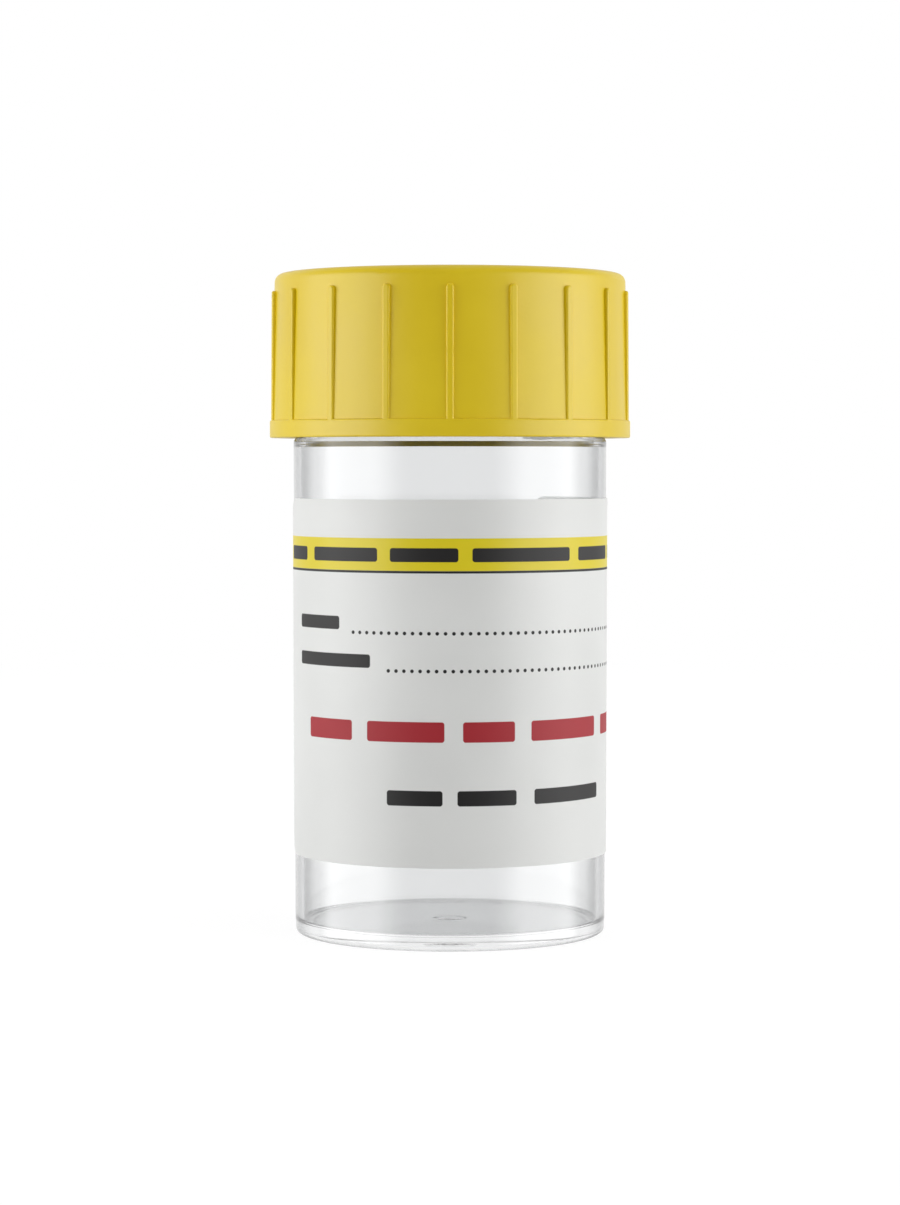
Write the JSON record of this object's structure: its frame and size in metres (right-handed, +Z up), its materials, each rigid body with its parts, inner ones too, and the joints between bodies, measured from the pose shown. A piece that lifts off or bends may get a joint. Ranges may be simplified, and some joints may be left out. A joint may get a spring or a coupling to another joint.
{
  "type": "specimen container",
  "caption": "Straight clear plastic specimen pot with a ribbed yellow screw cap, a seal liner and a wrapped paper label; the cap unscrews and lifts clear.",
  "frame": {"origin": "centre of the pot's base, on the plane that it stands on", "axes": "+Z up along the pot's axis to the cap, -Y at the front of the label, +X to the right"},
  "size_m": [0.0402, 0.0402, 0.0736],
  "materials": {
    "clear_polystyrene": "clear, polished mould finish",
    "yellow_polyethylene": "satin moulded, opaque",
    "white_foam": "matt foamed sheet",
    "label_paper": "coated, slightly glossy"
  },
  "bodies": {
    "pot": {"container_body": "clear_polystyrene", "label": "label_paper"},
    "liner": {"seal_liner": "white_foam"},
    "cap": {"screw_cap": "yellow_polyethylene"}
  },
  "joints": [
    {"name": "cap_rise", "type": "slide", "parent": "pot", "child": "liner", "axis": [0, 0, 1], "range_m": [0, 0.0171]},
    {"name": "cap_turn", "type": "hinge", "parent": "liner", "child": "cap", "pos_m": [0, 0, 0.0709], "axis": [0, 0, 1], "range_deg": [0, 1530]}
  ],
  "couplings": [
    {"joint": "cap_rise", "follows": "cap_turn", "m_per_rad": 0.00063662}
  ]
}
